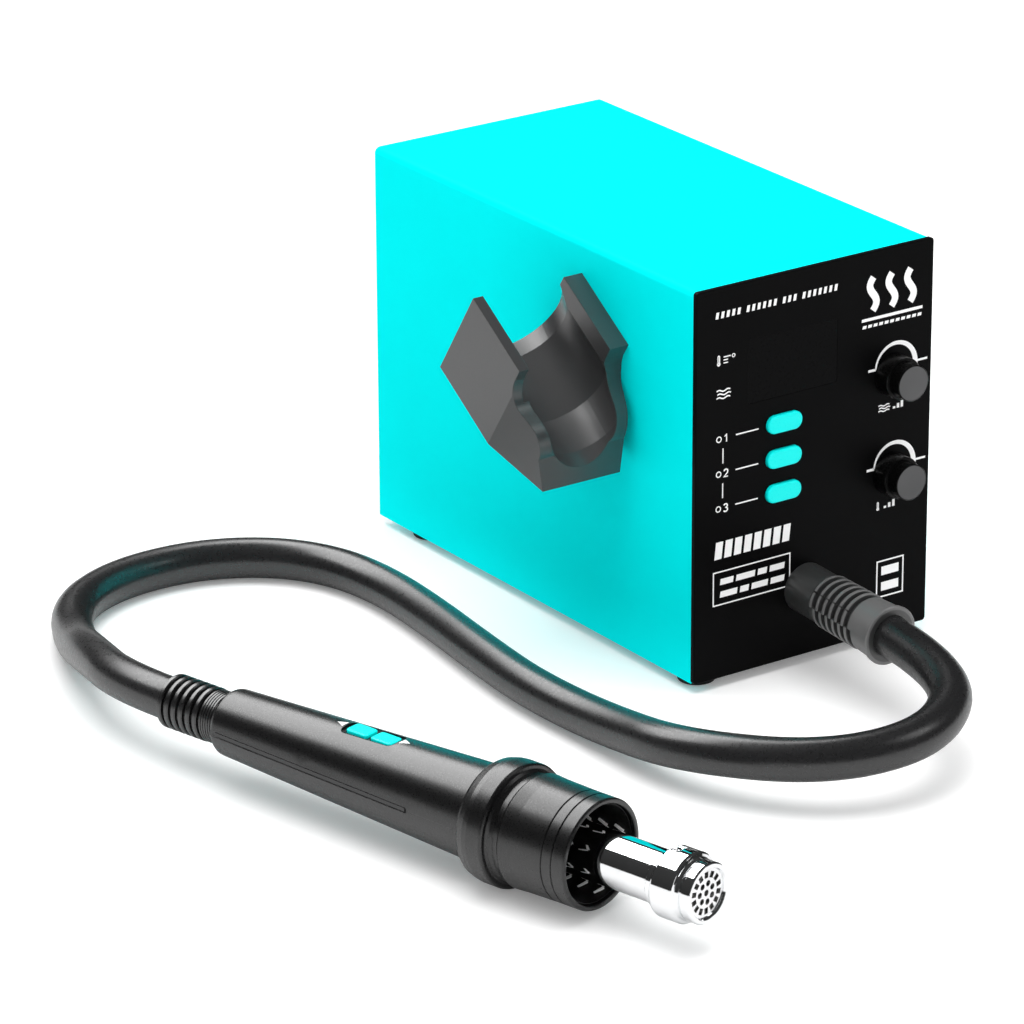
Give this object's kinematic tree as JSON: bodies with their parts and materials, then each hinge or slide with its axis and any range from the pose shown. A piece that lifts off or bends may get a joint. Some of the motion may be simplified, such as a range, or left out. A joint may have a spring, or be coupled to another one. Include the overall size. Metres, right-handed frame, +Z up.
{
  "type": "hot air rework station",
  "caption": "Bench hot air station: cabinet with knobs, channel keys and a side cradle, joined by a flexible air hose to a handpiece with a chromed nozzle.",
  "frame": {"origin": "centre of the cabinet footprint, on the plane of the feet soles", "axes": "+Z up, +X to the right of someone facing the front panel, front panel toward -Y; the cradle and the handpiece are on the -X side"},
  "size_m": [0.3696, 0.4718, 0.1885],
  "materials": {
    "cyan_paint": "satin",
    "panel_black": "satin",
    "smoked_window": "gloss",
    "zinc_steel": "satin",
    "black_steel": "matte",
    "screw_steel": "satin",
    "foot_rubber": "matte",
    "pcb_green": "satin",
    "component_black": "satin",
    "led_module": "satin",
    "cyan_button": "satin",
    "knob_black": "satin",
    "knob_grey": "satin",
    "shaft_steel": "satin",
    "blower_plastic": "matte",
    "impeller_plastic": "satin",
    "motor_steel": "satin",
    "fitting_black": "satin",
    "boot_rubber": "gloss",
    "hose_rubber": "satin",
    "cradle_plastic": "satin",
    "inlet_plastic": "satin",
    "pin_brass": "satin",
    "rocker_red": "gloss",
    "laminated_steel": "matte",
    "winding_tape": "satin",
    "grip_plastic": "satin",
    "inlay_gloss": "gloss",
    "shroud_plastic": "satin",
    "chrome_tube": "mirror",
    "perforated_steel": "satin",
    "ceramic_white": "matte",
    "thermocouple_steel": "satin"
  },
  "bodies": {
    "station": {"cabinet_cover": "cyan_paint", "base_tray": "zinc_steel", "bottom_screws": "screw_steel", "feet": "foot_rubber", "front_chassis": "zinc_steel", "front_panel": "panel_black", "display_window": "smoked_window", "front_board": "pcb_green", "board_standoffs": "zinc_steel", "board_screws": "screw_steel", "display_modules": "led_module", "potentiometers": "component_black", "blower_housing": "blower_plastic", "blower_motor": "motor_steel", "air_duct": "blower_plastic", "outlet_fitting": "fitting_black", "station_hose_boot": "boot_rubber", "handpiece_cradle": "cradle_plastic", "cradle_screws": "screw_steel", "rear_panel": "black_steel", "rear_screws": "screw_steel", "mains_inlet": "inlet_plastic", "inlet_pins": "pin_brass", "switch_housing": "inlet_plastic", "transformer_core": "laminated_steel", "transformer_winding": "winding_tape", "power_board": "pcb_green", "power_components": "component_black", "air_hose": "hose_rubber", "handle_hose_boot": "boot_rubber"},
    "air_control": {"air_knob": "knob_black", "air_knob_cap": "knob_grey", "air_shaft": "shaft_steel"},
    "temp_control": {"temp_knob": "knob_black", "temp_knob_cap": "knob_grey", "temp_shaft": "shaft_steel"},
    "channel_key_1": {"channel_button_1": "cyan_button"},
    "channel_key_2": {"channel_button_2": "cyan_button"},
    "channel_key_3": {"channel_button_3": "cyan_button"},
    "blower_rotor": {"blower_impeller": "impeller_plastic"},
    "fuse_holder": {"fuse_drawer": "inlet_plastic"},
    "rocker": {"power_rocker": "rocker_red"},
    "handpiece": {"grip_shell_upper": "grip_plastic", "grip_shell_lower": "grip_plastic", "grip_screws": "screw_steel", "grip_inlays": "inlay_gloss", "handle_board": "pcb_green", "collar_ring": "shroud_plastic", "shroud": "shroud_plastic", "shroud_louvres": "shroud_plastic", "heater_tube": "chrome_tube", "heater_core": "ceramic_white", "heater_support": "ceramic_white", "thermocouple": "thermocouple_steel", "nozzle_sleeve": "chrome_tube", "nozzle_tip_ring": "chrome_tube", "perforated_plate": "perforated_steel"},
    "handle_key_rear": {"handle_button_rear": "cyan_button"},
    "handle_key_front": {"handle_button_front": "cyan_button"}
  },
  "joints": [
    {"name": "air_knob_turn", "type": "hinge", "parent": "station", "child": "air_control", "pos_m": [0.0432, -0.1263, 0.1286], "axis": [0, -1, 0], "range_deg": [-150, 150]},
    {"name": "temp_knob_turn", "type": "hinge", "parent": "station", "child": "temp_control", "pos_m": [0.0433, -0.1263, 0.0814], "axis": [0, -1, 0], "range_deg": [-150, 150]},
    {"name": "channel_1_press", "type": "slide", "parent": "station", "child": "channel_key_1", "axis": [0, 1, 0], "range_m": [0, 0.0008], "stiffness_N_per_m": 400, "springref_m": -0.001},
    {"name": "channel_2_press", "type": "slide", "parent": "station", "child": "channel_key_2", "axis": [0, 1, 0], "range_m": [0, 0.0008], "stiffness_N_per_m": 400, "springref_m": -0.001},
    {"name": "channel_3_press", "type": "slide", "parent": "station", "child": "channel_key_3", "axis": [0, 1, 0], "range_m": [0, 0.0008], "stiffness_N_per_m": 400, "springref_m": -0.001},
    {"name": "blower_spin", "type": "hinge", "parent": "station", "child": "blower_rotor", "pos_m": [0.021, -0.008, 0.0348], "axis": [0, 0, 1], "continuous": true},
    {"name": "fuse_drawer_slide", "type": "slide", "parent": "station", "child": "fuse_holder", "axis": [0, 1, 0], "range_m": [0, 0.012]},
    {"name": "power_rocker_tilt", "type": "hinge", "parent": "station", "child": "rocker", "pos_m": [-0.024, 0.1213, 0.04], "axis": [1, 0, 0], "range_deg": [-18, 0]},
    {"name": "handpiece_lift", "type": "hinge", "parent": "station", "child": "handpiece", "pos_m": [-0.28464, -0.06858, 0.027], "axis": [-0.9696, -0.2448, 0], "range_deg": [0, 30], "deforming": ["handle_hose_boot"]},
    {"name": "handle_rear_press", "type": "slide", "parent": "handpiece", "child": "handle_key_rear", "axis": [0, 0, -1], "range_m": [0, 0.0006], "stiffness_N_per_m": 400, "springref_m": -0.001},
    {"name": "handle_front_press", "type": "slide", "parent": "handpiece", "child": "handle_key_front", "axis": [0, 0, -1], "range_m": [0, 0.0006], "stiffness_N_per_m": 400, "springref_m": -0.001}
  ]
}
